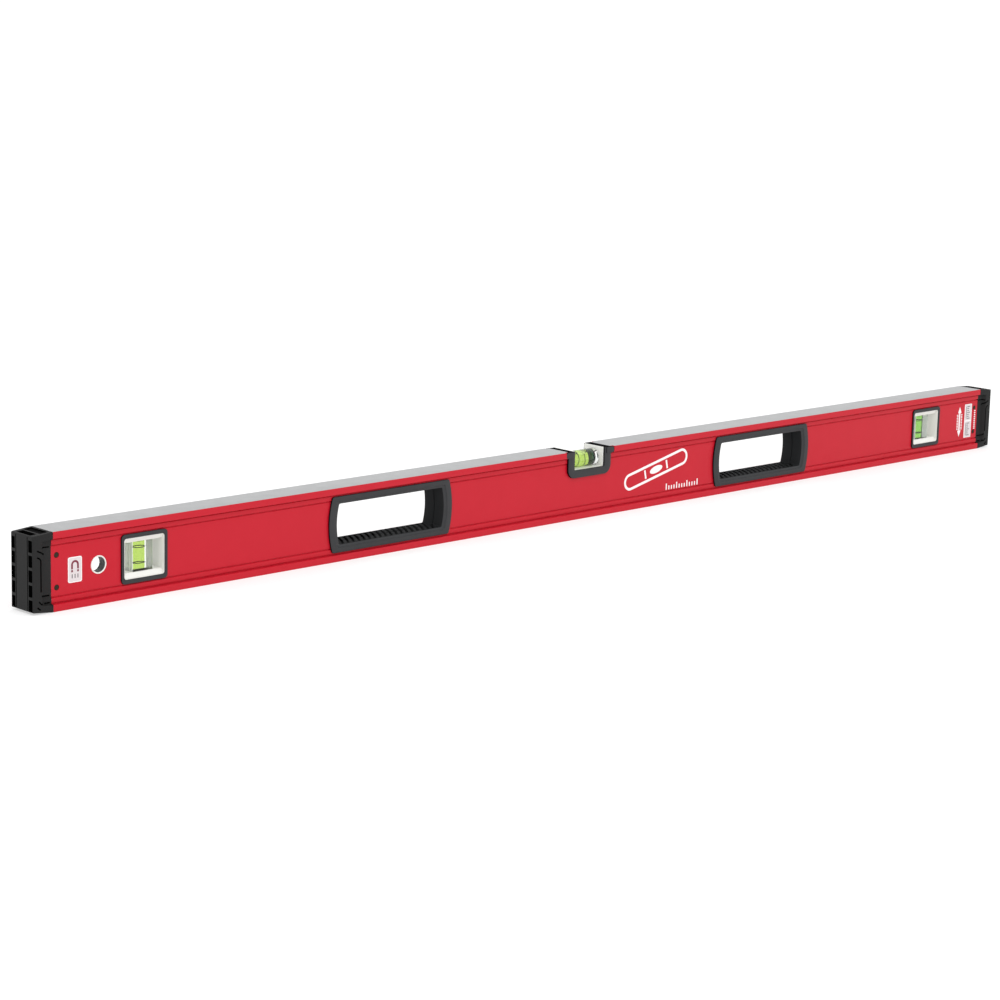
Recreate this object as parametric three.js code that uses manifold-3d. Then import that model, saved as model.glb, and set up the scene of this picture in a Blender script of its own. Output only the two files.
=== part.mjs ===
// A 1220 mm magnetic box-beam spirit level, in millimetres.
// X runs along the level, Y across its thickness and Z up. The origin is under the middle of the
// beam, on the lower measuring face. Front is -Y.
import * as THREE from 'three';
import { mergeVertices } from 'three/addons/utils/BufferGeometryUtils.js';
import Module from 'manifold-3d';

const wasm = await Module();
wasm.setup();

// ---------------------------------------------------------------- driving dimensions

const overallLength = 1220;
const capDepth = 19;
const beamLength = overallLength - 2 * capDepth;
const beamWidth = 29.2;
const beamHeight = 63.5;
const middleHeight = beamHeight / 2;
const fit = 0.2;
const touch = 0.1;
const overshoot = 1;

// Beam section: two flanges, a slightly raised band beside each, and the web between them.
const flangeHeight = 5.8;
const bandHeight = 11.4;
const bandHalfWidth = 11.9;
const webHalfWidth = 11.4;
const stepSlope = 0.5;
const edgeChamfer = 0.5;
const cavityHalfWidth = 9.2;
const flangeWall = 4;
const cavityCorner = 1.5;

// Hand holes and their two-part grips.
const handHoleOffset = 241.2;
const gripLength = 141;
const gripHeight = 48.4;
const gripBow = 3;
const gripCorner = 2.6;
const gripRimFace = 13.5;
const holeLength = 134;
const holeHeight = 41;
const handOpeningLength = 122;
const handOpeningHeight = 35;
const handOpeningBow = 2;
const handOpeningCorner = 1.6;
const gripSeam = 0.15;

// Plumb vials near the two ends. Each one is a clear block in a white housing.
const plumbOffset = 502.4;
const bezelWidth = 45;
const bezelHeight = 40.2;
const bezelCorner = 3.2;
const bezelFace = 12.9;
const windowWidth = 38.2;
const windowHeight = 32;
const windowCorner = 2.6;
const windowStep = 1;
const housingWidth = 41;
const housingHeight = 35;
const shelfRise = 3.75;
const shelfHalfDepth = 8.6;
const shelfRoot = 0.5;
const plumbShift = { left: 1.1, right: -1.8 };
const blockWidth = 20;
const blockDepth = 16;
const blockBottom = -15;
const plumbBoreRadius = 4.95;
const plumbBoreBottom = -12.6;
const plumbLiquidRadius = 4.45;
const plumbRingSpacing = 12.6;
const plumbRingRadius = 4.85;
const plumbPlugLength = 1.4;
const plumbBubbleRadius = 2.9;
const plumbBubbleRest = 12.8;
const plumbChannelRadius = 3;
const liquidFloor = 1;

// Level vial in the notch of the top edge.
const notchHalfLength = 20.8;
const notchBottom = 43;
const troughHalfLength = 19.6;
const troughHalfDepth = 11.8;
const troughTop = 63.3;
const troughWall = 1.6;
const troughFloor = 45.7;
const surroundHalfLength = 27.8;
const surroundBottom = 38.5;
const surroundCorner = 8;
const surroundFace = 13.7;
const surroundOpening = 19.3;
const earHalfLength = 31;
const earBottom = 57.5;
const liner = { near: 19.7, far: 20.7, depth: 12.5 };
const barrelRadius = 7.6;
const barrelHeight = 53.4;
const barrelHalfLength = troughHalfLength - troughWall;
const levelBoreRadius = 5.6;
const levelBoreHalfLength = 11.2;
const levelPlugLength = 3.6;
const levelLiquidRadius = 5.2;
const levelRingRadius = 5.5;
const levelRingSpacing = 14;
const ringWidth = 0.6;
const levelBubble = { halfLength: 5.5, halfWidth: 3, halfHeight: 1.5, rise: 3.3 };
const channelHalfWidth = 3.2;
const channelFloor = 1.7;

// Removable end caps: a hard plug in the beam and a rubber bumper that pulls off it.
const pegOffset = 585.8;
const pegRadius = 2.15;
const pegHoleRadius = 2.35;
const pegRoot = 1;
const pegHeights = [18.5, 44.2];
const plugDepth = 30;
const socketDepth = 17.8;
const socketHalfWidth = 6.3;
const socketHeight = 41;
const tongueHalfWidth = 6;
const tongueHeight = 40;
const tongueLength = 17;
const bumperBlock = 8.4;
const rampLength = 2.6;
const bumperChamfer = { side: 0.6, depth: 1.2, top: 2.4, bottom: 2.6 };
const bumperTaper = { top: 1.6, bottom: 1.9 };
const slotCount = 5;
const slotPitch = 11.7;
const slotMiddle = 30.5;
const slotSize = { depth: 3, width: 4.2, height: 9.2 };
const slotOffset = 11.6;

// Hang hole with its two sleeves and two eyelets.
const hangHole = { x: -546.3, z: 31.2 };
const hangBoreRadius = 6.2;
const sleeveRadius = 6.8;
const hangHoleRadius = 6.9;
const eyeletRadius = 7.4;
const eyeletThickness = 0.6;
const sleeveSeam = -3.9;

// Bar magnets under the beam, and the two printed plates.
const magnetOffsets = [80, 380, 545];
const magnetSize = { length: 25.4, width: 12, height: 3 };
const plateThickness = 0.3;
const magnetPlate = { x: -568.7, z: 30.4, width: 13.1, height: 20.3, corner: 1.6 };
const sizePlate = { x: 575.5, z: 31.2, width: 12, height: 35.6, corner: 0.4 };

const roundSegments = 24;
const cornerSegments = 3;

// ---------------------------------------------------------------- materials

function material(color, roughness, metalness = 0, opacity = 1) {
  return new THREE.MeshStandardMaterial({ color, roughness, metalness, opacity, transparent: opacity < 1 });
}

const redPaint = material(0xc8323e, 0.45);
const blackRubber = material(0x35353a, 0.8);
const blackPlastic = material(0x413f42, 0.6);
const whitePlastic = material(0xf2f1ec, 0.4);
const clearAcrylic = material(0xf4f8f4, 0.05, 0, 0.35);
const greenLiquid = material(0xb8d432, 0.1, 0, 0.7);
const airBubble = material(0xe8f6c8, 0.05, 0, 0.4);
const ringInk = material(0x101010, 0.5);
const magnetSteel = material(0x9c9ea0, 0.3, 0.9);
const labelFilm = material(0xe6dcdc, 0.5);

// ---------------------------------------------------------------- shape helpers

function toSolid(geometry) {
  const bare = geometry.clone();
  bare.deleteAttribute('normal');
  bare.deleteAttribute('uv');
  const merged = mergeVertices(bare, 1e-4);
  return new wasm.Manifold(new wasm.Mesh({
    numProp: 3,
    vertProperties: new Float32Array(merged.attributes.position.array),
    triVerts: new Uint32Array(merged.index.array),
  }));
}

function toGeometry(solid) {
  const mesh = solid.getMesh();
  const geometry = new THREE.BufferGeometry();
  geometry.setAttribute('position', new THREE.BufferAttribute(mesh.vertProperties, 3));
  geometry.setIndex(new THREE.BufferAttribute(mesh.triVerts, 1));
  geometry.computeVertexNormals();
  return geometry;
}

function join(first, ...others) {
  return toGeometry(others.reduce((solid, other) => solid.add(toSolid(other)), toSolid(first)));
}

function cut(body, ...tools) {
  return toGeometry(tools.reduce((solid, tool) => solid.subtract(toSolid(tool)), toSolid(body)));
}

function ordered(first, second) {
  return first < second ? [first, second] : [second, first];
}

// A box given by its low and high corners.
function box(low, high) {
  const size = high.map((value, axis) => value - low[axis]);
  const centre = high.map((value, axis) => (value + low[axis]) / 2);
  return new THREE.BoxGeometry(...size).translate(...centre);
}

// A rectangle with round corners, centred on a point. Its two ends bulge outwards by the bow.
function roundedRectangle(width, height, corner, bow = 0, centre = [0, 0], Kind = THREE.Shape) {
  const [x, y] = centre;
  const side = width / 2 - bow;
  const top = height / 2;
  const outline = new Kind();
  outline.moveTo(x - side + corner, y - top);
  outline.lineTo(x + side - corner, y - top);
  outline.absarc(x + side - corner, y - top + corner, corner, -Math.PI / 2, 0);
  outline.quadraticCurveTo(x + side + 2 * bow, y, x + side, y + top - corner);
  outline.absarc(x + side - corner, y + top - corner, corner, 0, Math.PI / 2);
  outline.lineTo(x - side + corner, y + top);
  outline.absarc(x - side + corner, y + top - corner, corner, Math.PI / 2, Math.PI);
  outline.quadraticCurveTo(x - side - 2 * bow, y, x - side, y - top + corner);
  outline.absarc(x - side + corner, y - top + corner, corner, Math.PI, 1.5 * Math.PI);
  return outline;
}

// An outline drawn in X and Z, given thickness from y = near to y = far.
function slab(outline, near, far) {
  const geometry = new THREE.ExtrudeGeometry(outline, {
    depth: far - near, bevelEnabled: false, curveSegments: cornerSegments,
  });
  return geometry.rotateX(Math.PI / 2).translate(0, far, 0);
}

// An outline drawn in Y and Z, given length from x = start to x = end.
function bar(outline, start, end) {
  const geometry = new THREE.ExtrudeGeometry(outline, {
    depth: end - start, bevelEnabled: false, curveSegments: cornerSegments,
  });
  const along = new THREE.Matrix4().makeBasis(
    new THREE.Vector3(0, 1, 0),
    new THREE.Vector3(0, 0, 1),
    new THREE.Vector3(1, 0, 0),
  );
  return geometry.applyMatrix4(along).translate(start, 0, 0);
}

// A solid of revolution about Y from (radius, y) pairs, turned to lie along the named axis.
function turned(points, axis) {
  const profile = points.map(([radius, y]) => new THREE.Vector2(radius, y));
  const geometry = new THREE.LatheGeometry(profile, roundSegments);
  if (axis === 'x') geometry.rotateZ(-Math.PI / 2);
  if (axis === 'z') geometry.rotateX(Math.PI / 2);
  return geometry;
}

function rod(radius, start, end, axis) {
  return turned([[0, start], [radius, start], [radius, end], [0, end]], axis);
}

function tube(inner, outer, start, end, axis) {
  return turned([[inner, start], [outer, start], [outer, end], [inner, end], [inner, start]], axis);
}

function named(name, geometry, surface) {
  const mesh = new THREE.Mesh(geometry, surface);
  mesh.name = name;
  return mesh;
}

// ---------------------------------------------------------------- beam

// The outer section, from the lower edge round to the upper one, mirrored about the middle.
function beamOutline() {
  const half = beamWidth / 2;
  const lower = [
    [half - edgeChamfer, 0],
    [half, edgeChamfer],
    [half, flangeHeight],
    [bandHalfWidth, flangeHeight + stepSlope / 2],
    [bandHalfWidth, bandHeight - stepSlope],
    [webHalfWidth, bandHeight],
  ];
  const upper = lower.map(([y, z]) => [y, beamHeight - z]).reverse();
  const right = [...lower, ...upper];
  const left = right.map(([y, z]) => [-y, z]).reverse();
  return new THREE.Shape([...right, ...left].map(([y, z]) => new THREE.Vector2(y, z)));
}

function beamFrame() {
  const through = beamWidth / 2 + overshoot;
  const section = beamOutline();
  const cavity = { width: 2 * cavityHalfWidth, height: beamHeight - 2 * flangeWall };
  section.holes.push(roundedRectangle(
    cavity.width, cavity.height, cavityCorner, 0, [0, middleHeight], THREE.Path,
  ));
  const cuts = [];
  for (const side of [-1, 1]) {
    const hand = roundedRectangle(
      holeLength, holeHeight, gripCorner, gripBow, [side * handHoleOffset, middleHeight],
    );
    cuts.push(slab(hand, -through, through));
    const window = roundedRectangle(
      housingWidth + 2 * fit, housingHeight + 2 * fit, windowCorner + fit, 0,
      [side * plumbOffset, middleHeight],
    );
    cuts.push(slab(window, -through, through));
    for (const height of pegHeights) {
      cuts.push(rod(pegHoleRadius, -through, through, 'y').translate(side * pegOffset, 0, height));
    }
    const [near, far] = ordered(side * bandHalfWidth, side * through);
    cuts.push(box(
      [-earHalfLength - fit, near, earBottom - fit],
      [earHalfLength + fit, far, beamHeight + overshoot],
    ));
    for (const offset of magnetOffsets) {
      cuts.push(box(
        [side * offset - magnetSize.length / 2, -magnetSize.width / 2, -overshoot],
        [side * offset + magnetSize.length / 2, magnetSize.width / 2, magnetSize.height],
      ));
    }
  }
  cuts.push(rod(hangHoleRadius, -through, through, 'y').translate(hangHole.x, 0, hangHole.z));
  cuts.push(box(
    [-notchHalfLength, -through, notchBottom],
    [notchHalfLength, through, beamHeight + overshoot],
  ));
  return named('frame', cut(bar(section, -beamLength / 2, beamLength / 2), ...cuts), redPaint);
}

function magnets() {
  const group = new THREE.Group();
  const places = [...magnetOffsets.map((offset) => -offset).reverse(), ...magnetOffsets];
  places.forEach((x, index) => {
    const half = { x: magnetSize.length / 2 - fit, y: magnetSize.width / 2 - fit };
    const block = box([-half.x, -half.y, 0], [half.x, half.y, magnetSize.height]);
    const magnet = named(`magnet_${index + 1}`, block, magnetSteel);
    magnet.position.set(x, 0, 0);
    group.add(magnet);
  });
  return group;
}

function plate(name, size) {
  const outline = roundedRectangle(size.width, size.height, size.corner);
  const mesh = named(name, slab(outline, -webHalfWidth - plateThickness, -webHalfWidth), labelFilm);
  mesh.position.set(size.x, 0, size.z);
  return mesh;
}

// ---------------------------------------------------------------- hand-hole grips

// One half of a grip: a rim over the web and a lining that reaches the middle of the beam.
function gripHalf(name, centreX, front) {
  const opening = () => roundedRectangle(
    handOpeningLength, handOpeningHeight, handOpeningCorner, handOpeningBow, [0, 0], THREE.Path,
  );
  const rim = roundedRectangle(gripLength, gripHeight, gripCorner, gripBow);
  rim.holes.push(opening());
  const lining = roundedRectangle(holeLength - 2 * fit, holeHeight - 2 * fit, gripCorner, gripBow);
  lining.holes.push(opening());
  const half = named(name, join(
    slab(rim, -gripRimFace, -bandHalfWidth),
    slab(lining, -bandHalfWidth, -gripSeam),
  ), blackPlastic);
  half.position.set(centreX, 0, middleHeight);
  if (!front) half.rotation.z = Math.PI;
  return half;
}

// ---------------------------------------------------------------- plumb vials

function windowOpening() {
  return roundedRectangle(
    windowWidth, windowHeight, windowCorner - windowStep, 0, [0, 0], THREE.Path,
  );
}

// A tube through the beam with a raised, sloping shelf below and above, each with a vial pocket.
function plumbHousing(shift) {
  const shell = roundedRectangle(housingWidth, housingHeight, windowCorner);
  shell.holes.push(windowOpening());
  const face = windowHeight / 2;
  const pieces = [-1, 1].map((side) => {
    const shelf = new THREE.Shape([
      [-webHalfWidth, side * (face + shelfRoot)],
      [-webHalfWidth, side * face],
      [-shelfHalfDepth, side * (face - shelfRise)],
      [shelfHalfDepth, side * (face - shelfRise)],
      [webHalfWidth, side * face],
      [webHalfWidth, side * (face + shelfRoot)],
    ].map(([y, z]) => new THREE.Vector2(y, z)));
    return bar(shelf, -windowWidth / 2 - shelfRoot, windowWidth / 2 + shelfRoot);
  });
  const pocket = box(
    [shift - blockWidth / 2, -blockDepth / 2, blockBottom],
    [shift + blockWidth / 2, blockDepth / 2, housingHeight],
  );
  return cut(join(slab(shell, -webHalfWidth, webHalfWidth), ...pieces), pocket);
}

function plumbBezel(name, front) {
  const outline = roundedRectangle(bezelWidth, bezelHeight, bezelCorner);
  outline.holes.push(windowOpening());
  const bezel = named(name, slab(outline, -bezelFace, -webHalfWidth), blackPlastic);
  if (!front) bezel.rotation.z = Math.PI;
  return bezel;
}

function plumbVial(side, centreX) {
  const top = housingHeight / 2;
  const liquidTop = top - plumbPlugLength - touch;
  const liquidBottom = plumbBoreBottom + touch;
  const block = cut(
    box([-blockWidth / 2, -blockDepth / 2, blockBottom], [blockWidth / 2, blockDepth / 2, top]),
    rod(plumbBoreRadius, plumbBoreBottom, top + overshoot, 'z'),
  );
  const liquid = cut(
    rod(plumbLiquidRadius, liquidBottom, liquidTop, 'z'),
    rod(plumbChannelRadius, liquidBottom + liquidFloor, top, 'z'),
  );
  const bubble = new THREE.SphereGeometry(plumbBubbleRadius, 16, 10);
  bubble.rotateX(Math.PI / 2).translate(0, 0, plumbBubbleRest);
  const vial = new THREE.Group();
  vial.position.x = plumbShift[side];
  vial.add(
    named(`${side}_plumb_block`, block, clearAcrylic),
    named(`${side}_plumb_liquid`, liquid, greenLiquid),
    named(`${side}_plumb_bubble`, bubble, airBubble),
    named(`${side}_plumb_plug`, rod(plumbRingRadius, top - plumbPlugLength, top, 'z'), whitePlastic),
  );
  for (const [place, way] of [['lower', -1], ['upper', 1]]) {
    const middle = way * plumbRingSpacing / 2;
    const low = middle - ringWidth / 2;
    const ring = tube(plumbLiquidRadius + touch, plumbRingRadius, low, low + ringWidth, 'z');
    vial.add(named(`${side}_plumb_ring_${place}`, ring, ringInk));
  }
  const module = new THREE.Group();
  module.position.set(centreX, 0, middleHeight);
  module.add(
    named(`${side}_plumb_housing`, plumbHousing(plumbShift[side]), whitePlastic),
    plumbBezel(`${side}_plumb_bezel_front`, true),
    plumbBezel(`${side}_plumb_bezel_rear`, false),
    vial,
  );
  return module;
}

// ---------------------------------------------------------------- level vial

// A black U over each side of the notch, with ears that fill the gap cut in the flange and liners that
// reach along the notch's end walls to the middle of the beam.
function levelSurround(name, front) {
  const height = troughTop - surroundBottom;
  const corner = surroundHalfLength - surroundCorner;
  const outline = new THREE.Shape();
  outline.moveTo(-surroundHalfLength, height);
  outline.lineTo(-surroundHalfLength, surroundCorner);
  outline.absarc(-corner, surroundCorner, surroundCorner, Math.PI, 1.5 * Math.PI);
  outline.lineTo(corner, 0);
  outline.absarc(corner, surroundCorner, surroundCorner, 1.5 * Math.PI, 2 * Math.PI);
  outline.lineTo(surroundHalfLength, height);
  const floor = troughFloor - surroundBottom;
  for (const [x, z] of [[1, height], [1, floor], [-1, floor], [-1, height]]) {
    outline.lineTo(x * surroundOpening, z);
  }
  const face = slab(outline, -surroundFace, -bandHalfWidth).translate(0, 0, surroundBottom);
  const ears = [-1, 1].map((way) => {
    const [near, far] = ordered(way * surroundOpening, way * earHalfLength);
    return box([near, -beamWidth / 2, earBottom], [far, -bandHalfWidth, troughTop]);
  });
  const liners = [-1, 1].map((way) => {
    const [near, far] = ordered(way * liner.near, way * liner.far);
    return box([near, -liner.depth, notchBottom + touch], [far, -touch, troughTop]);
  });
  const surround = named(name, join(face, ...ears, ...liners), blackPlastic);
  if (!front) surround.rotation.z = Math.PI;
  return surround;
}

function levelVial() {
  const housing = cut(
    box([-troughHalfLength, -troughHalfDepth, notchBottom], [troughHalfLength, troughHalfDepth, troughTop]),
    box([-barrelHalfLength, -beamWidth, troughFloor], [barrelHalfLength, beamWidth, beamHeight]),
  );
  const barrel = turned([
    [0, -barrelHalfLength],
    [barrelRadius, -barrelHalfLength],
    [barrelRadius, barrelHalfLength],
    [levelBoreRadius, barrelHalfLength],
    [levelBoreRadius, -levelBoreHalfLength],
    [0, -levelBoreHalfLength],
  ], 'x');
  const reach = levelBoreHalfLength - fit;
  const liquid = cut(
    rod(levelLiquidRadius, -reach, reach, 'x'),
    box(
      [-reach - overshoot, -channelHalfWidth, channelFloor],
      [reach + overshoot, channelHalfWidth, barrelRadius],
    ),
  );
  const { halfLength, halfWidth, halfHeight, rise } = levelBubble;
  const bubble = new THREE.SphereGeometry(1, 16, 10).scale(halfLength, halfWidth, halfHeight);
  bubble.translate(0, 0, rise);
  const vial = new THREE.Group();
  vial.position.z = barrelHeight;
  vial.add(
    named('level_barrel', barrel, clearAcrylic),
    named('level_liquid', liquid, greenLiquid),
    named('level_bubble', bubble, airBubble),
    named('level_plug', rod(
      levelRingRadius, levelBoreHalfLength, levelBoreHalfLength + levelPlugLength, 'x',
    ), blackPlastic),
  );
  for (const [place, way] of [['left', -1], ['right', 1]]) {
    const start = way * levelRingSpacing / 2 - ringWidth / 2;
    const ring = tube(levelLiquidRadius + touch, levelRingRadius, start, start + ringWidth, 'x');
    vial.add(named(`level_ring_${place}`, ring, ringInk));
  }
  const module = new THREE.Group();
  module.add(
    named('level_housing', housing, whitePlastic),
    levelSurround('level_surround_front', true),
    levelSurround('level_surround_rear', false),
    vial,
  );
  return module;
}

// ---------------------------------------------------------------- end caps

// Both pieces are drawn for the right end. The left end is the same pair turned half round.
function capPlug() {
  const outer = beamLength / 2 - fit;
  const inner = outer - plugDepth;
  const wall = cavityHalfWidth - fit;
  const outline = roundedRectangle(
    2 * wall, beamHeight - 2 * (flangeWall + fit), cavityCorner, 0, [0, middleHeight],
  );
  const body = bar(outline, inner, outer);
  const socket = box(
    [outer - socketDepth, -socketHalfWidth, middleHeight - socketHeight / 2],
    [outer + overshoot, socketHalfWidth, middleHeight + socketHeight / 2],
  );
  const pegs = pegHeights.flatMap((height) => [-1, 1].map((way) => {
    const [near, far] = ordered(way * (wall - pegRoot), way * (webHalfWidth - touch));
    return rod(pegRadius, near, far, 'y').translate(pegOffset, 0, height);
  }));
  return join(cut(body, socket), ...pegs);
}

// The skirt follows the beam's section, then ramps out to a block as wide as the flanges.
function bumper() {
  const start = beamLength / 2;
  const end = overallLength / 2;
  const half = beamWidth / 2;
  const skirtEnd = end - bumperBlock;
  const plan = new THREE.Shape([
    [skirtEnd - rampLength, -webHalfWidth],
    [skirtEnd, -half],
    [end - bumperChamfer.side, -half],
    [end, bumperChamfer.side - half],
    [end, half - bumperChamfer.side],
    [end - bumperChamfer.side, half],
    [skirtEnd, half],
    [skirtEnd - rampLength, webHalfWidth],
  ].map(([x, y]) => new THREE.Vector2(x, y)));
  const block = new THREE.ExtrudeGeometry(plan, { depth: beamHeight, bevelEnabled: false });
  const sideView = new THREE.Shape([
    [start, 0],
    [end - bumperChamfer.depth, bumperTaper.bottom],
    [end, bumperChamfer.bottom],
    [end, beamHeight - bumperChamfer.top],
    [end - bumperChamfer.depth, beamHeight - bumperTaper.top],
    [start, beamHeight],
  ].map(([x, z]) => new THREE.Vector2(x, z)));
  const outside = toSolid(join(bar(beamOutline(), start, skirtEnd), block))
    .intersect(toSolid(slab(sideView, -half, half)));
  const tongue = box(
    [start - tongueLength, -tongueHalfWidth, middleHeight - tongueHeight / 2],
    [start + overshoot, tongueHalfWidth, middleHeight + tongueHeight / 2],
  );
  const slots = [];
  for (const side of [-1, 1]) {
    for (let index = 0; index < slotCount; index += 1) {
      const height = slotMiddle + (index - (slotCount - 1) / 2) * slotPitch;
      slots.push(box(
        [end - slotSize.depth, side * slotOffset - slotSize.width / 2, height - slotSize.height / 2],
        [end + overshoot, side * slotOffset + slotSize.width / 2, height + slotSize.height / 2],
      ));
    }
  }
  return cut(join(toGeometry(outside), tongue), ...slots);
}

function endCap(side) {
  const cap = new THREE.Group();
  cap.add(
    named(`${side}_cap_plug`, capPlug(), blackPlastic),
    named(`${side}_cap_bumper`, bumper(), blackRubber),
  );
  if (side === 'left') cap.rotation.z = Math.PI;
  return cap;
}

// ---------------------------------------------------------------- hang hole

function hangHoleLining() {
  const group = new THREE.Group();
  const face = webHalfWidth;
  const lining = (radius, start, end) => tube(hangBoreRadius, radius, start, end, 'y');
  group.add(
    named('hang_hole_front_sleeve', lining(sleeveRadius, -face, sleeveSeam), blackPlastic),
    named('hang_hole_rear_sleeve', lining(sleeveRadius, sleeveSeam + touch, face), whitePlastic),
    named('hang_hole_front_eyelet', lining(eyeletRadius, -face - eyeletThickness, -face), whitePlastic),
    named('hang_hole_rear_eyelet', lining(eyeletRadius, face, face + eyeletThickness), whitePlastic),
  );
  group.position.set(hangHole.x, 0, hangHole.z);
  return group;
}

// ---------------------------------------------------------------- assembly

const level = new THREE.Group();
level.add(beamFrame(), magnets(), plate('magnet_label', magnetPlate), plate('size_label', sizePlate));
for (const [side, way] of [['left', -1], ['right', 1]]) {
  level.add(
    gripHalf(`${side}_grip_front`, way * handHoleOffset, true),
    gripHalf(`${side}_grip_rear`, way * handHoleOffset, false),
    plumbVial(side, way * plumbOffset),
    endCap(side),
  );
}
level.add(levelVial(), hangHoleLining());

export default level;
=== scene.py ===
"""Looks for a 1220 mm magnetic box-beam spirit level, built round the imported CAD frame.

Shapes are worked out in millimetres, in the frame of the CAD model: X along the level, Y across
its thickness with the labelled front at -Y, and Z up. Objects are made in metres.
"""
import math

import bmesh
import bpy
from mathutils import Matrix, Vector


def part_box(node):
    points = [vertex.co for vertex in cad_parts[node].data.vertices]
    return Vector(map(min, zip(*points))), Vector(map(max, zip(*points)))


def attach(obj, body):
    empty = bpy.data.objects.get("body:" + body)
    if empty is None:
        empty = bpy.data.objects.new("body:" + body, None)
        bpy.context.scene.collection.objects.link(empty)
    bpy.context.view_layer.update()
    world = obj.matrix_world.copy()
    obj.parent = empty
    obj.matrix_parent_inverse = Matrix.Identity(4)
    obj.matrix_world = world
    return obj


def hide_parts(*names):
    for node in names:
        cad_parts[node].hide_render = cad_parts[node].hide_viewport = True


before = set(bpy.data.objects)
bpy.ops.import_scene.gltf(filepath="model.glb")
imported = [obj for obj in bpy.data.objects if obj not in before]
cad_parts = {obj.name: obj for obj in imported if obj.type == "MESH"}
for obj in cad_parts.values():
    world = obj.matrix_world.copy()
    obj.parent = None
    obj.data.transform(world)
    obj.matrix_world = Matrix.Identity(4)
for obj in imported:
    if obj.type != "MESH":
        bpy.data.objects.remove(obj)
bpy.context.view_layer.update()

MM = 0.001
SIDES = {"left": -1, "right": 1}
FACES = {"front": -1, "rear": 1}
MAGNETS = range(1, 7)


def span(node):
    """The lowest and highest corner of a CAD node, in millimetres."""
    low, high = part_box(node)
    return low / MM, high / MM


def middle(node):
    """The middle of a CAD node's box, in millimetres."""
    low, high = span(node)
    return (low + high) / 2


# ---- sizes, in millimetres

BEAM_LOW, BEAM_HIGH = span("frame")
BEAM_HALF = BEAM_HIGH.y
BEAM_TOP = BEAM_HIGH.z
MID_Z = BEAM_TOP / 2
WEB = span("left_plumb_housing")[1].y
FLANGE = 5.8
BAND = 11.4
BAND_RISE = 0.5
SEAT = WEB + BAND_RISE
GROOVE = 0.8
CAVITY_HALF = 9.2
CAVITY_WALL = 4.0
CAVITY_CORNER = 1.5
NOTCH_HALF = 20.8
EAR_LOW = 57.5
SHOULDER = {"near": 20.8, "far": 27.3, "low": 61.2, "high": 62.0}

# How far cuts reach past a surface, how far pieces clear each other, how near two points are welded
# (SAME_POINT in metres), and how near a face lies to the surface it is sought on.
OVERSHOOT = 2.0
THROUGH = BEAM_HALF + OVERSHOOT
FIT = 0.2
WELD = 0.001
SAME_POINT = 1e-7
NEARBY = 0.05

# Rounded rectangles in X and Z, whose ends bulge by bow.
GRIP_OPENING = {"width": 122.0, "height": 35.0, "corner": 1.6, "bow": 2.0}
GRIP_STEP = {"width": 128.0, "height": 39.4, "corner": 2.0, "bow": 2.4}
GRIP_LINING = {"width": 133.6, "height": 40.6, "corner": 2.6, "bow": 3.0}
GRIP_HOLE = {"width": 134.0, "height": 41.0, "corner": 2.6, "bow": 3.0}
RIB_PITCH = 6.1
RIB_GAP = 3.2
RIB_DEPTH = 2.0
RIB_SLANT = 14.0 / 25.0
RIB_CURVE = 0.012
RIB_STEPS = 8

WINDOW = {"width": 38.2, "height": 32.0, "corner": 1.6}
WINDOW_LIP = 0.9
SHELF_RISE = 3.75
SHELF_HALF_DEPTH = 8.6
FLUTES = {"count": 4, "pitch": 3.4, "radius": 1.5, "depth": 0.5}

# The notch for the level vial: the U-shaped surround and what is let in at its two sides.
SURROUND = {
    "half": 27.8, "opening": 19.3, "floor": 45.7, "front": 13.7, "corner": 8.5, "inside": 0.8,
}
LINER = {"near": 19.7, "far": 20.7, "depth": 12.8, "low": 43.2}
LEVEL_BORE = 5.6
PLUG_GAP = 0.1
PLUG_FOOT = 1.6
RING_GAP = 0.05

# The ends: the plug's pegs and socket, and the bumper's tongue, slots, ramp, trays and lines.
PEG_X = 585.8
PEG_HEIGHTS = (18.5, 44.2)
PEG_RADIUS = 2.15
PEG_HOLE_RADIUS = 2.35
SOCKET = {"depth": 17.8, "half_width": 6.3, "half_height": 20.5}
TONGUE = {"depth": 17, "half_width": 6, "half_height": 20}
SLOT_COUNT = 5
SLOT_PITCH = 11.7
SLOT_MIDDLE = 30.5
SLOT = {"depth": 3.0, "width": 5.0, "height": 9.4, "offset": 11.5}
CAP_BLOCK = 8.4
CAP_RAMP = 2.6
CAP_TAPER = {"top": 1.6, "bottom": 1.9}
CAP_TRAYS = (
    {"start": 7.6, "end": 1.8, "half": 9.6, "depth": 3.4},
    {"start": 16.8, "end": 9.2, "half": 11.4, "depth": 1.5},
)
CAP_PANEL = {"offset": 7.7, "low": 2.5, "high": 61, "width": 0.9, "depth": 1.2}
PAD_LINE = {"width": 1.2, "depth": 1.3}

HANG_HOLE = middle("hang_hole_front_sleeve")
HANG_CENTRE = (HANG_HOLE.x, 0, HANG_HOLE.z)
HANG_BORE = 6.2
HANG_SLEEVE = 6.8
HANG_RIM = 7.4
HANG_CUT = 6.9

# How far the plates and the marks stand proud of the web, and how far they are let into it.
PLATE_RISE = 0.2
FIELD_RISE = 0.24
FIGURE_RISE = 0.3
MARK_RISE = 0.12
MARK_SINK = 0.02

# The camera's place in metres, and its own right and up directions. The floor's reach in millimetres.
CAMERA = {"place": (-1.78524, -1.73832, 0.51368), "lens": 99.314, "sensor": 36}
CAMERA_RIGHT = (0.72113, -0.69239, 0.02389)
CAMERA_UP = (0.11985, 0.15864, 0.98003)
FLOOR_REACH = 60000
SKY_STRENGTH = 1.04
SOFTBOX = {"place": (-0.8, -1.6, 2.6), "size": 3.0, "energy": 26}


# ---- materials

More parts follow.
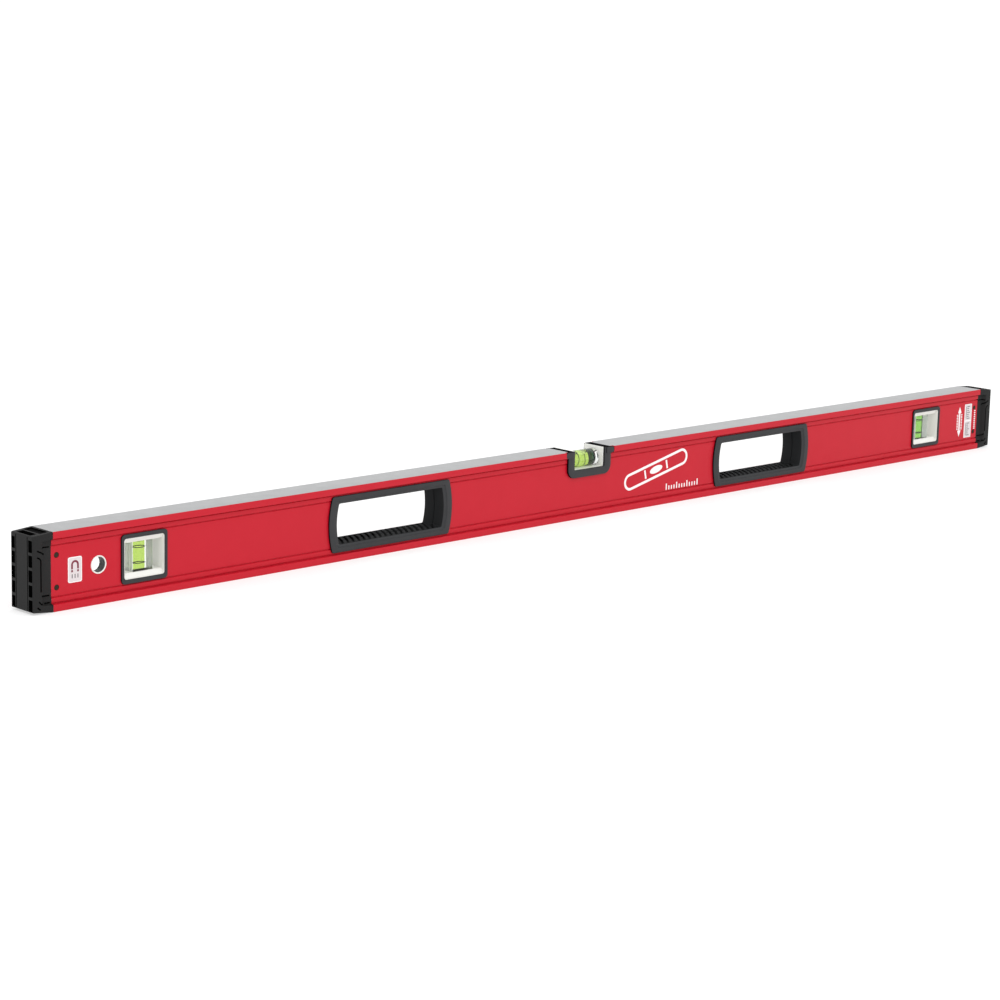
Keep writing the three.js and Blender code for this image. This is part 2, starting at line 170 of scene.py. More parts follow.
def new_material(name):
    """A node material with its Principled shader, for the caller to finish."""
    made = bpy.data.materials.new(name)
    made.use_nodes = True
    return made, made.node_tree, made.node_tree.nodes["Principled BSDF"]


def texture(tree, kind, scale, **values):
    """A procedural texture in object space, with the given scale per metre."""
    place = tree.nodes.new("ShaderNodeTexCoord")
    node = tree.nodes.new(kind)
    node.inputs["Scale"].default_value = scale
    for key, value in values.items():
        node.inputs[key.replace("_", " ")].default_value = value
    tree.links.new(place.outputs["Object"], node.inputs["Vector"])
    return node


def ramp(tree, source, low, high):
    """Maps a 0 to 1 value onto two colours."""
    node = tree.nodes.new("ShaderNodeValToRGB")
    node.color_ramp.elements[0].color = (*low, 1)
    node.color_ramp.elements[1].color = (*high, 1)
    tree.links.new(source, node.inputs["Fac"])
    return node.outputs["Color"]


def spread(tree, source, low, high):
    """Maps a 0 to 1 value onto a range."""
    node = tree.nodes.new("ShaderNodeMapRange")
    node.inputs["To Min"].default_value = low
    node.inputs["To Max"].default_value = high
    tree.links.new(source, node.inputs["Value"])
    return node.outputs["Result"]


def bump(tree, shader, source, height_mm, strength=0.5):
    """Feeds a height into the shader's normal."""
    node = tree.nodes.new("ShaderNodeBump")
    node.inputs["Strength"].default_value = strength
    node.inputs["Distance"].default_value = height_mm * MM
    tree.links.new(source, node.inputs["Height"])
    tree.links.new(node.outputs["Normal"], shader.inputs["Normal"])


def light_up(shader, colour, strength):
    """Lets a surface give off a little light of its own."""
    shader.inputs["Emission Color"].default_value = (*colour, 1)
    shader.inputs["Emission Strength"].default_value = strength


def grained(name, dark, light, rough, grain, relief, specular=0.5, metallic=0.0, glow=0.0):
    """A moulded or coated surface: slow colour drift, changing gloss and a fine grain in relief."""
    made, tree, shader = new_material(name)
    drift = texture(tree, "ShaderNodeTexNoise", 60, Detail=3)
    fine = texture(tree, "ShaderNodeTexNoise", grain, Detail=4)
    tree.links.new(ramp(tree, drift.outputs["Fac"], dark, light), shader.inputs["Base Color"])
    tree.links.new(spread(tree, fine.outputs["Fac"], *rough), shader.inputs["Roughness"])
    shader.inputs["Specular IOR Level"].default_value = specular
    shader.inputs["Metallic"].default_value = metallic
    if glow:
        light_up(shader, (1, 1, 1), glow)
    bump(tree, shader, fine.outputs["Fac"], relief)
    return made


def milled_metal(name):
    """Bare aluminium with fine cutter marks across it."""
    made, tree, shader = new_material(name)
    marks = texture(tree, "ShaderNodeTexWave", 260, Distortion=1.5, Detail=2)
    marks.bands_direction = "X"
    stretch = texture(tree, "ShaderNodeTexNoise", 90, Detail=5)
    tree.links.new(
        ramp(tree, stretch.outputs["Fac"], (0.40, 0.405, 0.41), (0.50, 0.505, 0.51)),
        shader.inputs["Base Color"],
    )
    tree.links.new(spread(tree, marks.outputs["Fac"], 0.38, 0.5), shader.inputs["Roughness"])
    shader.inputs["Metallic"].default_value = 0.85
    bump(tree, shader, marks.outputs["Fac"], 0.02, 0.3)
    return made


def clear(name, colour, ior, roughness, transmission=1.0, glow=0.0):
    """A clear solid or liquid, with faint flow streaks in its gloss."""
    made, tree, shader = new_material(name)
    streak = texture(tree, "ShaderNodeTexNoise", 300, Detail=1)
    tree.links.new(
        ramp(tree, streak.outputs["Fac"], tuple(0.97 * c for c in colour), colour),
        shader.inputs["Base Color"],
    )
    tree.links.new(spread(tree, streak.outputs["Fac"], 0, roughness), shader.inputs["Roughness"])
    shader.inputs["Transmission Weight"].default_value = transmission
    shader.inputs["IOR"].default_value = ior
    if glow:
        light_up(shader, colour, glow)
    return made


RED = grained(
    "red_powder_coat", (0.50, 0.004, 0.017), (0.54, 0.006, 0.021),
    rough=(0.36, 0.46), grain=2600, relief=0.02, specular=0.25,
)
METAL = milled_metal("milled_aluminium")
PLASTIC = grained(
    "black_plastic", (0.021, 0.022, 0.024), (0.029, 0.030, 0.033),
    rough=(0.45, 0.6), grain=3200, relief=0.03, specular=0.35,
)
RUBBER = grained(
    "black_rubber", (0.009, 0.009, 0.009), (0.013, 0.013, 0.013),
    rough=(0.6, 0.75), grain=1800, relief=0.05, specular=0.25,
)
# Painted shade: a darker, duller black for walls in shade, and below it a near black for the walls and
# cuts in the deepest shade.
SHADE = grained(
    "matt_painted_shade", (0.016, 0.017, 0.018), (0.023, 0.024, 0.025),
    rough=(0.6, 0.75), grain=2400, relief=0.03, specular=0.03,
)
BLACK_SHADE = grained(
    "painted_black_shade", (0.001, 0.001, 0.001), (0.002, 0.002, 0.002),
    rough=(0.7, 0.8), grain=1800, relief=0.03, specular=0.02,
)
WHITE = grained(
    "white_plastic", (0.80, 0.80, 0.76), (0.84, 0.84, 0.80),
    rough=(0.3, 0.4), grain=1500, relief=0.01,
)
# Painted light: the rear sleeve's white glows so that it looks lit deep inside the hole.
LIT_SLEEVE = grained(
    "white_sleeve_painted_light", (0.80, 0.80, 0.78), (0.84, 0.84, 0.82),
    rough=(0.3, 0.4), grain=1500, relief=0.01, glow=0.55,
)
INK = grained(
    "ring_ink", (0.004, 0.004, 0.004), (0.008, 0.008, 0.008),
    rough=(0.4, 0.5), grain=4000, relief=0.01, specular=0.3,
)
# Painted reflection: dark green that stands in for the dark wall seen refracted through the spirit.
REFRACTION_GREEN = grained(
    "painted_refraction_green", (0.006, 0.075, 0.022), (0.008, 0.090, 0.028),
    rough=(0.3, 0.4), grain=2000, relief=0.01, specular=0.3,
)
STEEL = grained(
    "magnet_steel", (0.32, 0.32, 0.33), (0.40, 0.40, 0.41),
    rough=(0.25, 0.4), grain=900, relief=0.02, metallic=1.0,
)
FILM = grained(
    "label_film", (0.66, 0.60, 0.61), (0.72, 0.66, 0.67),
    rough=(0.35, 0.45), grain=2000, relief=0.01,
)
PRINT_WHITE = grained(
    "white_print", (0.86, 0.84, 0.84), (0.92, 0.90, 0.90),
    rough=(0.4, 0.5), grain=2600, relief=0.01,
)
PRINT_RED = grained(
    "dark_red_print", (0.16, 0.01, 0.03), (0.2, 0.012, 0.035),
    rough=(0.4, 0.5), grain=2600, relief=0.01,
)
PRINT_GREY = grained(
    "grey_print", (0.10, 0.09, 0.10), (0.13, 0.12, 0.13),
    rough=(0.4, 0.5), grain=2600, relief=0.01,
)
PEG = grained(
    "peg_plastic", (0.022, 0.013, 0.007), (0.032, 0.018, 0.009),
    rough=(0.5, 0.6), grain=2600, relief=0.02, specular=0.2,
)
FROSTED = clear("ground_acrylic", (0.80, 0.85, 0.79), 1.49, 0.03, transmission=0.35)
ACRYLIC = clear("clear_acrylic", (0.98, 1.0, 0.985), 1.49, 0.03)
SPIRIT = clear("green_spirit", (0.46, 0.65, 0.12), 1.0, 0.02)
# Painted shade: a darker copy of the same spirit, for the right vial.
SHADED_SPIRIT = clear("green_spirit_painted_shade", (0.26, 0.56, 0.10), 1.0, 0.02)
# Painted light: the bubble's air glows a little so that it looks bright.
AIR_PAINTED_LIGHT = clear("bubble_air", (0.96, 1.0, 0.90), 0.90, 0.02, glow=0.25)


# ---- outlines

def arc(centre, radius, start, end, steps):
    """Points on an arc, both ends included, with the angles in degrees."""
    points = []
    for index in range(steps + 1):
        angle = math.radians(start + (end - start) * index / steps)
        points.append((centre[0] + radius * math.cos(angle), centre[1] + radius * math.sin(angle)))
    return points


def rounded(width, height, corner, bow=0.0, steps=6):
    """A rectangle with round corners, centred on the origin. Its two ends bulge outwards by bow."""
    side = width / 2 - bow
    top = height / 2
    right = arc((side - corner, corner - top), corner, -90, 0, steps)
    end = top - corner
    for index in range(1, steps * 2):
        turn = index / (steps * 2)
        right.append((side + 4 * bow * turn * (1 - turn), -end + 2 * end * turn))
    right += arc((side - corner, top - corner), corner, 0, 90, steps)
    return right + [(-x, -z) for x, z in right]


def filleted(corners, steps=4):
    """A closed outline from (x, y, radius) corners, each rounded by its own radius."""
    outline = []
    for index, (x, y, radius) in enumerate(corners):
        here = Vector((x, y))
        if not radius:
            outline.append((x, y))
            continue
        before = Vector(corners[index - 1][:2])
        after = Vector(corners[(index + 1) % len(corners)][:2])
        to_before = (before - here).normalized()
        to_after = (after - here).normalized()
        half_angle = to_before.angle(to_after) / 2
        reach = radius / math.tan(half_angle)
        centre = here + (to_before + to_after).normalized() * radius / math.sin(half_angle)
        first = here + to_before * reach - centre
        sweep = first.angle_signed(here + to_after * reach - centre)
        for step in range(steps + 1):
            turned = first.copy()
            turned.rotate(Matrix.Rotation(-sweep * step / steps, 2))
            outline.append(tuple(centre + turned))
    return outline


# ---- meshes

def placed(name, data):
    """A new object in the scene."""
    made = bpy.data.objects.new(name, data)
    bpy.context.scene.collection.objects.link(made)
    return made


def mesh_object(points, faces):
    """An unnamed mesh object from points in millimetres, with its faces turned outwards."""
    mesh = bpy.data.meshes.new("shape")
    mesh.from_pydata([Vector(point) * MM for point in points], [], faces)
    work = bmesh.new()
    work.from_mesh(mesh)
    bmesh.ops.remove_doubles(work, verts=work.verts, dist=SAME_POINT)
    bmesh.ops.recalc_face_normals(work, faces=work.faces)
    work.to_mesh(mesh)
    work.free()
    return placed("shape", mesh)


def loft(rings, wrap=False):
    """A skin over rings with equal counts of points. A wrapped loft runs back to its first ring, and
    others have end faces."""
    count = len(rings[0])
    points = [point for ring in rings for point in ring]
    faces = []
    for index in range(len(rings) if wrap else len(rings) - 1):
        low = index * count
        high = (index + 1) % len(rings) * count
        for spot in range(count):
            after = (spot + 1) % count
            faces.append((low + spot, low + after, high + after, high + spot))
    if not wrap:
        faces.append(tuple(range(count - 1, -1, -1)))
        faces.append(tuple(range(len(points) - count, len(points))))
    return mesh_object(points, faces)


def along_x(outline, start, end):
    """An outline in Y and Z drawn out from x = start to x = end."""
    return loft([[(x, y, z) for y, z in outline] for x in (start, end)])


def along_y(outline, start, end, centre=(0, 0)):
    """An outline in X and Z drawn out from y = start to y = end."""
    return loft([[(centre[0] + x, y, centre[1] + z) for x, z in outline] for y in (start, end)])


def block(low, high):
    """A box between two corners, for cutting and joining."""
    outline = [(low[0], low[1]), (high[0], low[1]), (high[0], high[1]), (low[0], high[1])]
    return loft([[(x, y, z) for x, y in outline] for z in (low[2], high[2])])


def spun(profile, axis, centre, steps=64, wrap=False):
    """A turned solid. The profile is (radius, place) pairs along the named axis through the centre."""
    rings = []
    for radius, place in profile:
        ring = []
        for across, up in arc((0, 0), radius, 0, 360, steps)[:-1]:
            offsets = {"x": (place, across, up), "y": (across, place, up), "z": (across, up, place)}
            ring.append(tuple(Vector(centre) + Vector(offsets[axis])))
        rings.append(ring)
    return loft(rings, wrap)


def hoop(sections, centre, way=1, least_corner=0.2):
    """A closed band through rounded rectangles. Each section is (size, grow, depth): the size's outline
    grown all round by grow, at that depth on the side that way points to along Y."""
    rings = []
    for size, grow, depth in sections:
        outline = rounded(
            size["width"] + 2 * grow,
            size["height"] + 2 * grow,
            max(size["corner"] + grow, least_corner),
            size.get("bow", 0),
        )
        rings.append([(centre.x + x, way * depth, centre.z + z) for x, z in outline])
    return loft(rings, wrap=True)


def reworked(shape, change):
    """The shape after a change to its mesh, which is handed over for editing."""
    work = bmesh.new()
    work.from_mesh(shape.data)
    change(work)
    work.to_mesh(shape.data)
    work.free()
    return shape


def in_triangles(shape):
    """The shape with every face split into triangles, so that no face is warped."""
    return reworked(shape, lambda work: bmesh.ops.triangulate(work, faces=work.faces))


def weld(work):
    """Joins the points of a mesh that fall together and drops the faces that this leaves flat."""
    bmesh.ops.remove_doubles(work, verts=work.verts, dist=WELD * MM)
    bmesh.ops.dissolve_degenerate(work, edges=work.edges, dist=WELD * MM)


def bake(shape):
    """Applies the shape's modifiers."""
    graph = bpy.context.evaluated_depsgraph_get()
    mesh = bpy.data.meshes.new_from_object(shape.evaluated_get(graph))
    shape.modifiers.clear()
    shape.data = mesh
    return shape


def coloured(shape, surfaces, pick):
    """Gives the shape its surfaces. For each face, pick says which one of them it has, by its number."""
    for surface in surfaces:
        shape.data.materials.append(surface)
    for face in shape.data.polygons:
        face.material_index = pick(face)


def merged(shapes):
    """One object from several that don't touch each other."""
    work = bmesh.new()
    for shape in shapes:
        work.from_mesh(shape.data)
    mesh = bpy.data.meshes.new("shape")
    work.to_mesh(mesh)
    work.free()
    for shape in shapes:
        bpy.data.objects.remove(shape)
    return placed("shape", mesh)


def combine(shape, tools, operation="DIFFERENCE"):
    """Cuts the tools from the shape, or joins them to it, one after another."""
    for tool in tools:
        change = shape.modifiers.new("combine", "BOOLEAN")
        change.operation = operation
        change.solver = "EXACT"
        change.object = tool
    bake(shape)
    for tool in tools:
        bpy.data.objects.remove(tool)
    reworked(shape, weld)


def soften(shape, width, segments=3, angle=35):
    """Rounds the edges that are sharper than the angle."""
    bevel = shape.modifiers.new("soften", "BEVEL")
    bevel.width = width * MM
    bevel.segments = segments
    bevel.limit_method = "ANGLE"
    bevel.angle_limit = math.radians(angle)
    bevel.use_clamp_overlap = True
    return bake(shape)


def shade_sides(shape, centre):
    """Paints shade on the walls of a black piece: a darker matt black where they face its centre or lie
    under the web, and near black where they face away from the centre."""

    def pick(face):
        outwards = face.center - centre * MM
        outwards.y = 0
        wall = abs(face.normal.y) < 0.5
        # Walls facing outwards get the near-black painted shade, the other walls and the faces under the
        # web the darker painted shade.
        if wall and face.normal.dot(outwards) > 0:
            return 2
        return 1 if wall or abs(face.center.y / MM) < WEB else 0

    coloured(shape, (PLASTIC, SHADE, BLACK_SHADE), pick)


def turned_round(shape):
    """Turns the shape half round about Z, as the left end is to the right one."""
    shape.data.transform(Matrix.Rotation(math.pi, 4, "Z"))


def finish_piece(shape, name, surface, slot, node=None, body="level", smooth_angle=32):
    """Names the shape, shades it and puts it on its body in place of the CAD node it stands for."""
    shape.name = name
    shape.data.name = name
    if not shape.data.materials:
        shape.data.materials.append(surface)
    shape.data.shade_smooth()
    shape.data.set_sharp_from_angle(angle=math.radians(smooth_angle))
    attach(shape, body)
    if node:
        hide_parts(node)


# ---- beam

def mirrored_section(lower):
    """A whole outline in Y and Z from its lower right quarter of (y, z, corner radius) points."""
    right = lower + [(y, BEAM_TOP - z, radius) for y, z, radius in reversed(lower)]
    return filleted(right + [(-y, z, radius) for y, z, radius in reversed(right)])


def beam_section():
    """The extrusion's outer outline: two flanges, a band beside each, and the web. A narrow groove runs
    where each band meets the flange and the web."""
    return mirrored_section([
        (BEAM_HALF, 0, 0.5),
        (BEAM_HALF, FLANGE, 0.5),
        (SEAT - GROOVE, FLANGE, 0.1),
        (SEAT - GROOVE, FLANGE + 0.9, 0.1),
        (SEAT, FLANGE + 1.2, 0.2),
        (SEAT, BAND - 0.8, 0.3),
        (WEB - GROOVE, BAND - 0.5, 0.1),
        (WEB - GROOVE, BAND + 0.2, 0.1),
        (WEB, BAND + 0.5, 0.2),
    ])


def cavity_outline(gap=0.0):
    """The outline in Y and Z of the beam's cavity, smaller by gap all round."""
    half = CAVITY_HALF - gap
    low = CAVITY_WALL + gap
    high = BEAM_TOP - low
    corners = ((half, low), (half, high), (-half, high), (-half, low))
    return filleted([(y, z, CAVITY_CORNER) for y, z in corners])


def shoulder_cuts():
    """A shallow step in the top at either side of the notch."""
    cuts = []
    for way in (-1, 1):
        near, far = sorted((way * (SHOULDER["near"] - 0.5), way * SHOULDER["far"]))
        cuts.append(block((near, -THROUGH, SHOULDER["low"]), (far, THROUGH, BEAM_TOP + OVERSHOOT)))
    return cuts


def ear_cuts():
    """The pocket for the surround's ears in each face of the beam."""
    low, high = span("level_surround_front")
    outline = filleted([
        (low.x - FIT, EAR_LOW - FIT, 2.4), (high.x + FIT, EAR_LOW - FIT, 2.4),
        (high.x + FIT, BEAM_TOP + OVERSHOOT, 0), (low.x - FIT, BEAM_TOP + OVERSHOOT, 0),
    ])
    return [along_y(outline, *sorted((way * SEAT, way * THROUGH))) for way in FACES.values()]


def beam_holes():
    """The hand holes, windows, peg holes, hang hole, notch and magnet pockets. None touches another."""
    holes = []
    for side in SIDES:
        hand = middle(f"{side}_grip_front")
        holes.append(along_y(rounded(**GRIP_HOLE), -THROUGH, THROUGH, (hand.x, hand.z)))
        low, high = span(f"{side}_plumb_housing")
        window = rounded(high.x - low.x + 2 * FIT, high.z - low.z + 2 * FIT, 2.8)
        holes.append(along_y(window, -THROUGH, THROUGH, ((low.x + high.x) / 2, MID_Z)))
        for place in peg_places(side):
            holes.append(spun([(PEG_HOLE_RADIUS, -THROUGH), (PEG_HOLE_RADIUS, THROUGH)], "y", place))
    holes.append(spun([(HANG_CUT, -THROUGH), (HANG_CUT, THROUGH)], "y", HANG_CENTRE))
    notch_floor = span("level_housing")[0].z
    above = BEAM_TOP + OVERSHOOT
    holes.append(block((-NOTCH_HALF, -THROUGH, notch_floor), (NOTCH_HALF, THROUGH, above)))
    for index in MAGNETS:
        low, high = span(f"magnet_{index}")
        holes.append(block((low.x - FIT, low.y - FIT, -OVERSHOOT), (high.x + FIT, high.y + FIT, high.z)))
    return holes


def beam_surface(face):
    """The number of a face's surface: 1 for bare metal on the milled edges, the sawn ends and in the
    cavity, 2 for painted shade in black in the steps beside the notch, and 0 for red."""
    x, y, height = face.center / MM
    milled = height < NEARBY or height > BEAM_TOP - NEARBY
    cavity = abs(y) < CAVITY_HALF + NEARBY and abs(face.normal.y) > 0.9
    sawn = abs(x) > BEAM_HIGH.x - NEARBY
    if milled or cavity or sawn:
        return 1
    # Painted shade: the steps beside the notch are coloured black.
    return 2 if height > SHOULDER["low"] - NEARBY and abs(x) < SHOULDER["far"] + NEARBY else 0


def beam():
    """The red beam with its milled edges, its openings and its holes."""
    shape = along_x(beam_section(), BEAM_LOW.x, BEAM_HIGH.x)
    cavity = along_x(cavity_outline(), BEAM_LOW.x - OVERSHOOT, BEAM_HIGH.x + OVERSHOOT)
    combine(shape, [cavity, *shoulder_cuts(), merged(beam_holes()), *ear_cuts()])
    coloured(shape, (RED, METAL, SHADE), beam_surface)
    finish_piece(shape, "beam", RED, "red_powder_coat", "frame")


def peg_places(side):
    """The middles of the two peg holes near an end, on the beam's middle plane."""
    return [(SIDES[side] * PEG_X, 0, height) for height in PEG_HEIGHTS]


def magnets():
    """Six bar magnets, flush with the lower face."""
    for index in MAGNETS:
        shape = soften(block(*span(f"magnet_{index}")), 0.3)
        finish_piece(shape, f"bar_magnet_{index}", STEEL, "magnet_plate", f"magnet_{index}")


# ---- hand-hole grips

def grip(side, face):
    """One half of a grip: a stepped rim on the web and a ribbed lining to the middle of the beam."""
    node = f"{side}_grip_{face}"
    low, high = span(node)
    centre = (low + high) / 2
    way = FACES[face]
    seam = min(abs(low.y), abs(high.y))
    front = max(abs(low.y), abs(high.y))
    rim = {"width": high.x - low.x, "height": high.z - low.z, "corner": 2.6, "bow": 3.0}
    shape = hoop([
        (GRIP_OPENING, 0.6, seam),
        (GRIP_OPENING, 0.0, seam + 0.6),
        (GRIP_OPENING, 0.0, front - 1.6),
        (GRIP_OPENING, 0.12, front - 1.25),
        (GRIP_OPENING, 0.45, front - 1.0),
        (GRIP_STEP, -0.3, front - 0.75),
        (GRIP_STEP, 0.0, front - 0.65),
        (GRIP_STEP, 0.25, front - 0.25),
        (GRIP_STEP, 0.6, front),
        (rim, -0.7, front),
        (rim, -0.25, front - 0.1),
        (rim, 0.0, front - 0.4),
        (rim, 0.0, SEAT),
        (GRIP_LINING, 0.0, SEAT),
        (GRIP_LINING, 0.0, seam),
    ], centre, way)
    combine(shape, [rib_gaps(centre, way, front - 2.4)])
    shade_sides(shape, centre)
    finish_piece(shape, f"{side}_hand_grip_{face}", PLASTIC, "black_plastic", node)


def rib_gaps(centre, way, depth):
    """The curving gaps between the ribs, in the floor and the ceiling of the opening. They run on from
    one half of the grip into the other and stop short of the opening's ends."""
    half_height = GRIP_OPENING["height"] / 2
    reach = GRIP_OPENING["width"] / 2 - RIB_GAP
    count = int(2 * reach / RIB_PITCH) + 2
    gaps = []
    for index in range(count):
        middle_x = (index - (count - 1) / 2) * RIB_PITCH
        path = []
        for step in range(RIB_STEPS + 1):
            y = way * (-1 + (depth + 1) * step / RIB_STEPS)
            x = middle_x + RIB_SLANT * y - RIB_CURVE * y * y
            if abs(x) < reach:
                path.append((centre.x + x, y))
        if len(path) < 3:
            continue
        for lift in (-1, 1):
            edge = lift * half_height + centre.z
            gaps.append(loft([
                [
                    (x - RIB_GAP / 2, y, edge - lift * 0.5),
                    (x + RIB_GAP / 2, y, edge - lift * 0.5),
                    (x + RIB_GAP / 3, y, edge + lift * RIB_DEPTH),
                    (x - RIB_GAP / 3, y, edge + lift * RIB_DEPTH),
                ]
                for x, y in path
            ]))
    return merged(gaps)


# ---- plumb vials

def plumb_bezel(side, face):
    """A black frame round the window, with a soft outer edge and a slope towards the glass."""
    node = f"{side}_plumb_bezel_{face}"
    low, high = span(node)
    centre = (low + high) / 2
    front = max(abs(low.y), abs(high.y))
    outer = {"width": high.x - low.x, "height": high.z - low.z, "corner": 3.2}
    shape = hoop([
        (WINDOW, 0.6, WEB),
        (WINDOW, 0.6, front - 0.75),
        (WINDOW, 0.75, front - 0.5),
        (WINDOW, 1.1, front - 0.3),
        (outer, -0.6, front),
        (outer, -0.2, front - 0.1),
        (outer, 0.0, front - 0.35),
        (outer, 0.0, WEB),
    ], centre, FACES[face])
    shade_sides(shape, centre)
    finish_piece(shape, f"{side}_window_bezel_{face}", PLASTIC, "black_plastic", node)


def plumb_housing(side):
    """The white tube behind the bezels, with its sloping shelves and the pockets for the block."""
    node = f"{side}_plumb_housing"
    low, high = span(node)
    centre = (low + high) / 2
    outer = {"width": high.x - low.x, "height": high.z - low.z, "corner": 2.6}
    lip = WEB + WINDOW_LIP
    front = [
        (WINDOW, 0.0, lip - 0.2),
        (WINDOW, 0.2, lip),
        (WINDOW, 0.5, lip - 0.2),
        (WINDOW, 0.5, WEB),
        (outer, 0.0, WEB),
    ]
    shape = hoop(front + [(size, grow, -depth) for size, grow, depth in reversed(front)], centre)
    half = WINDOW["height"] / 2
    shelf = [
        (-WEB + 0.2, half + 0.8, 0),
        (-WEB + 0.2, half - 0.1, 0.05),
        (-SHELF_HALF_DEPTH, half - SHELF_RISE, 0.6),
        (SHELF_HALF_DEPTH, half - SHELF_RISE, 0.6),
        (WEB - 0.2, half - 0.1, 0.05),
        (WEB - 0.2, half + 0.8, 0),
    ]
    reach = WINDOW["width"] / 2 + 0.7
    shelves = []
    for way in (-1, 1):
        outline = filleted([(y, centre.z + way * height, radius) for y, height, radius in shelf])
        shelves.append(along_x(outline, centre.x - reach, centre.x + reach))
    combine(shape, shelves, "UNION")
    glass_low, glass_high = span(f"{side}_plumb_block")
    combine(shape, [block(glass_low, (glass_high.x, glass_high.y, high.z + OVERSHOOT))])
    finish_piece(shape, f"{side}_window_housing", WHITE, "white_plastic", node)


def tube_ring(centre, axis, radius, width, thickness=0.25):
    """A thin printed ring: a soft-edged band round the axis."""
    half = width / 2
    edge = min(half, thickness) * 0.35
    profile = [
        (radius, -half + edge), (radius, half - edge), (radius + edge, half),
        (radius + thickness - edge, half), (radius + thickness, half - edge),
        (radius + thickness, -half + edge), (radius + thickness - edge, -half), (radius + edge, -half),
    ]
    return spun(profile, axis, centre, wrap=True)


def capsule(centre, axis, radius, start, end, edge, waist=()):
    """A rod with rounded rims, and with further rings of points at the waist places."""
    profile = [(radius - edge + x, start + edge + z) for x, z in arc((0, 0), edge, -90, 0, 4)]
    profile += [(radius, place) for place in waist]
    profile += [(radius - edge + x, end - edge + z) for x, z in arc((0, 0), edge, 0, 90, 4)]
    return spun(profile, axis, centre)


def ellipsoid(centre, radii, rings=20):
    """A smooth closed bubble."""
    profile = [
        (math.sin(math.pi * index / rings), -math.cos(math.pi * index / rings))
        for index in range(rings + 1)
    ]
    shape = spun(profile, "x", (0, 0, 0), steps=40)
    shape.data.transform(Matrix.Diagonal((*radii, 1)))
    shape.data.transform(Matrix.Translation(Vector(centre) * MM))
    return shape


def fluted_block(side):
    """The clear block that holds the spirit, with shallow flutes down its two ground sides."""
    node = f"{side}_plumb_block"
    low, high = span(node)
    centre = (low + high) / 2
    half = (high.x - low.x) / 2
    shape = soften(block(low, high), 0.35)
    profile = [(FLUTES["radius"], low.z - 1), (FLUTES["radius"], high.z + 1)]
    flutes = []
    for way in (-1, 1):
        x = centre.x + way * (half + FLUTES["radius"] - FLUTES["depth"])
        for index in range(FLUTES["count"]):
            y = centre.y + (index - (FLUTES["count"] - 1) / 2) * FLUTES["pitch"]
            flutes.append(spun(profile, "z", (x, y, 0)))
    combine(shape, [merged(flutes)])
    ground = half - FLUTES["depth"] - NEARBY
    coloured(shape, (ACRYLIC, FROSTED), lambda face: int(abs(face.center.x / MM - centre.x) > ground))
    finish_piece(shape, f"{side}_vial_block", ACRYLIC, "clear_acrylic", node)


def plumb_vial(side):
    """The clear block with its green spirit, its two rings, its plug and its bubble."""
    fluted_block(side)
    centre = middle(f"{side}_plumb_block")
    axis_point = (centre.x, centre.y, 0)
    low, high = span(f"{side}_plumb_liquid")
    radius = (high.x - low.x) / 2 + 0.5
    spirit = capsule(axis_point, "z", radius, low.z, high.z, 0.8)
    # The right vial's spirit is the darker copy, as painted shade.
    surface = SPIRIT if side == "left" else SHADED_SPIRIT
    finish_piece(spirit, f"{side}_vial_spirit", surface, "green_spirit", f"{side}_plumb_liquid")
    plug_top = span(f"{side}_plumb_plug")[1].z - 0.05
    plug = capsule(axis_point, "z", radius - PLUG_GAP, high.z + 0.05, plug_top, 0.25)
    finish_piece(plug, f"{side}_vial_plug", WHITE, "white_plastic", f"{side}_plumb_plug")
    for place in ("lower", "upper"):
        node = f"{side}_plumb_ring_{place}"
        ring = tube_ring((centre.x, centre.y, middle(node).z), "z", radius + RING_GAP, 0.7)
        finish_piece(ring, f"{side}_vial_ring_{place}", INK, "ring_ink", node)
    bubble(f"{side}_vial_bubble", f"{side}_plumb_bubble")


def bubble(name, node):
    """A smooth bubble that fills its CAD node's box and rides on the body of the same name."""
    low, high = span(node)
    shape = ellipsoid((low + high) / 2, (high - low) / 2)
    finish_piece(shape, name, AIR_PAINTED_LIGHT, "bubble_air", node, body=node, smooth_angle=180)


# ---- level vial

def level_surround(face):
    """The black U round the notch, with the ears, liners and shoulders at its two sides."""
    node = f"level_surround_{face}"
    low, high = span(node)
    front = SURROUND["front"]
    edge = [(0, SEAT), (0, front - 0.5), (0.15, front - 0.15), (0.5, front)]
    outer_path = u_path(low.z, high.z, SURROUND["half"], SURROUND["corner"])
    inner_path = u_path(SURROUND["floor"], high.z, SURROUND["opening"], SURROUND["inside"])
    rings = []
    for outer, inner in zip(outer_path, inner_path):
        across = (Vector(outer) - Vector(inner)).normalized()
        outside = [(Vector(outer) - across * inset, depth) for inset, depth in edge]
        inside = [(Vector(inner) + across * inset, depth) for inset, depth in reversed(edge)]
        rings.append([(spot.x, -depth, spot.y) for spot, depth in outside + inside])
    shape = in_triangles(loft(rings))
    combine(shape, [*notch_side(-1, high), *notch_side(1, high)], "UNION")
    shade_sides(shape, Vector((0, 0, high.z - 6)))
    if face == "rear":
        turned_round(shape)
    finish_piece(shape, f"notch_surround_{face}", PLASTIC, "black_plastic", node)


